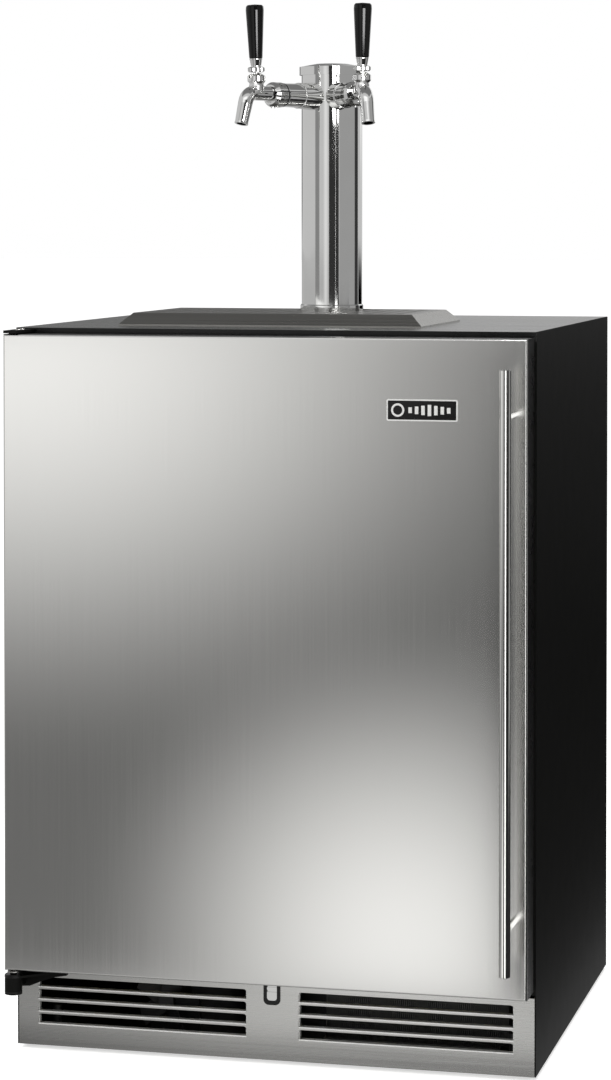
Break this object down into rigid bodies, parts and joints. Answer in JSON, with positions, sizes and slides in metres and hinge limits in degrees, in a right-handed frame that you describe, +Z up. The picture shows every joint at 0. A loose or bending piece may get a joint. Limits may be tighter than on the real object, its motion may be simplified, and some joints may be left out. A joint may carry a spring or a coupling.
{
  "type": "kegerator",
  "caption": "Undercounter draught beer cooler with a hinged steel door, bar handle, louvred base grille, drip tray and a two-faucet tower on top.",
  "frame": {"origin": "on the floor under the middle of the overall bounding box", "axes": "+X to the right, seen from the front, +Y to the back, +Z up; the door faces -Y"},
  "size_m": [0.606, 0.648, 1.2097],
  "materials": {
    "case_black": "fine textured black powder coat",
    "top_steel": "satin grey steel",
    "door_steel": "vertical brushed grain",
    "grille_steel": "satin brushed",
    "handle_steel": "satin brushed round bar",
    "polished_chrome": "mirror polished",
    "trim_black": "satin black",
    "seal_rubber": "black seal",
    "liner_steel": "satin liner sheet",
    "foam": "closed-cell foam",
    "tray_grey": "satin dark grey",
    "tap_black": "gloss black",
    "badge": "bright border, black field",
    "coil_aluminium": "fins and tube",
    "machine_black": "black enamel",
    "fan_plastic": "moulded",
    "cover_grey": "moulded",
    "cylinder_alloy": "brushed alloy",
    "gas_brass": "machined",
    "gas_hose": "red gas hose",
    "beer_line": "milky beer line",
    "coupler_steel": "plated",
    "foot_black": "moulded"
  },
  "bodies": {
    "cabinet": {"side_panel_left": "case_black", "side_panel_right": "case_black", "top_panel": "top_steel", "back_panel": "case_black", "base_pan": "case_black", "insulation": "foam", "inner_liner": "liner_steel", "front_frame": "trim_black", "grille": "grille_steel", "lock_bezel": "trim_black", "hinge_brackets": "case_black", "compressor": "machine_black", "condenser_coil": "coil_aluminium", "fan_motors": "machine_black", "evaporator_coil": "coil_aluminium", "evaporator_cover": "cover_grey", "power_inlet": "trim_black", "co2_cylinder": "cylinder_alloy", "regulator": "gas_brass", "gas_hoses": "gas_hose", "beer_lines": "beer_line", "keg_couplers": "coupler_steel", "coupler_hangers": "liner_steel", "drip_tray": "tray_grey", "tower_flange": "polished_chrome", "tower_column": "polished_chrome", "tower_cap": "polished_chrome", "faucet_arms": "polished_chrome", "faucet_shanks": "polished_chrome", "arm_gaskets": "seal_rubber", "coupling_nuts": "polished_chrome", "faucet_body_left": "polished_chrome", "faucet_body_right": "polished_chrome", "bonnets": "polished_chrome"},
    "door": {"door_skin": "door_steel", "door_frame": "trim_black", "door_foam": "foam", "door_liner": "liner_steel", "door_gasket": "seal_rubber", "door_handle": "handle_steel", "handle_posts": "handle_steel", "nameplate": "badge"},
    "lock": {"lock_bolt": "polished_chrome"},
    "lever_left": {"tap_lever_left": "polished_chrome", "tap_handle_left": "tap_black"},
    "lever_right": {"tap_lever_right": "polished_chrome", "tap_handle_right": "tap_black"},
    "valve_left": {"valve_stem_left": "polished_chrome"},
    "valve_right": {"valve_stem_right": "polished_chrome"},
    "condenser_fan": {"condenser_fan": "fan_plastic"},
    "evaporator_fan": {"evaporator_fan": "fan_plastic"},
    "handwheel": {"cylinder_handwheel": "trim_black"},
    "knob": {"regulator_knob": "trim_black"},
    "coupler_left": {"coupler_lever_left": "trim_black"},
    "coupler_right": {"coupler_lever_right": "trim_black"},
    "grid": {"drip_grid": "tray_grey"},
    "foot_fl": {"foot_front_left": "foot_black"},
    "foot_fr": {"foot_front_right": "foot_black"},
    "foot_rl": {"foot_rear_left": "foot_black"},
    "foot_rr": {"foot_rear_right": "foot_black"}
  },
  "joints": [
    {"name": "door_hinge", "type": "hinge", "parent": "cabinet", "child": "door", "pos_m": [-0.2927, -0.26103, 0.465], "axis": [0, 0, -1], "range_deg": [0, 110]},
    {"name": "lock_slide", "type": "slide", "parent": "cabinet", "child": "lock", "axis": [0, 0, 1], "range_m": [0, 0.0075]},
    {"name": "tap_left", "type": "hinge", "parent": "cabinet", "child": "lever_left", "pos_m": [-0.05239, -0.08181, 1.115], "axis": [0.8771, -0.4802, 0], "range_deg": [0, 35]},
    {"name": "valve_left", "type": "slide", "parent": "cabinet", "child": "valve_left", "axis": [0.4802, 0.8771, 0], "range_m": [0, 0.0062]},
    {"name": "tap_right", "type": "hinge", "parent": "cabinet", "child": "lever_right", "pos_m": [0.07439, -0.08181, 1.115], "axis": [0.8771, 0.4802, 0], "range_deg": [0, 35]},
    {"name": "valve_right", "type": "slide", "parent": "cabinet", "child": "valve_right", "axis": [-0.4802, 0.8771, 0], "range_m": [0, 0.0062]},
    {"name": "condenser_fan_spin", "type": "hinge", "parent": "cabinet", "child": "condenser_fan", "pos_m": [-0.14, -0.15602, 0.051], "axis": [0, 1, 0], "continuous": true},
    {"name": "evaporator_fan_spin", "type": "hinge", "parent": "cabinet", "child": "evaporator_fan", "pos_m": [-0.1, 0.24097, 0.525], "axis": [0, 1, 0], "continuous": true},
    {"name": "cylinder_valve_turn", "type": "hinge", "parent": "cabinet", "child": "handwheel", "pos_m": [0.19, 0.22398, 0.645], "axis": [0, 0, 1], "range_deg": [0, 360]},
    {"name": "regulator_turn", "type": "hinge", "parent": "cabinet", "child": "knob", "pos_m": [0.112, 0.19898, 0.62], "axis": [0, 1, 0], "range_deg": [0, 360]},
    {"name": "coupler_pull_left", "type": "hinge", "parent": "cabinet", "child": "coupler_left", "pos_m": [-0.12, 0.00417, 0.766], "axis": [1, 0, 0], "range_deg": [0, 35]},
    {"name": "coupler_pull_right", "type": "hinge", "parent": "cabinet", "child": "coupler_right", "pos_m": [0.12, 0.00417, 0.766], "axis": [1, 0, 0], "range_deg": [0, 35]},
    {"name": "grid_lift", "type": "slide", "parent": "cabinet", "child": "grid", "axis": [0, 0, 1], "range_m": [0, 0.04]},
    {"name": "level_fl", "type": "slide", "parent": "cabinet", "child": "foot_fl", "axis": [0, 0, -1], "range_m": [0, 0.02]},
    {"name": "level_fr", "type": "slide", "parent": "cabinet", "child": "foot_fr", "axis": [0, 0, -1], "range_m": [0, 0.02]},
    {"name": "level_rl", "type": "slide", "parent": "cabinet", "child": "foot_rl", "axis": [0, 0, -1], "range_m": [0, 0.02]},
    {"name": "level_rr", "type": "slide", "parent": "cabinet", "child": "foot_rr", "axis": [0, 0, -1], "range_m": [0, 0.02]}
  ],
  "couplings": [
    {"joint": "valve_left", "follows": "tap_left", "m_per_rad": 0.01},
    {"joint": "valve_right", "follows": "tap_right", "m_per_rad": 0.01}
  ]
}
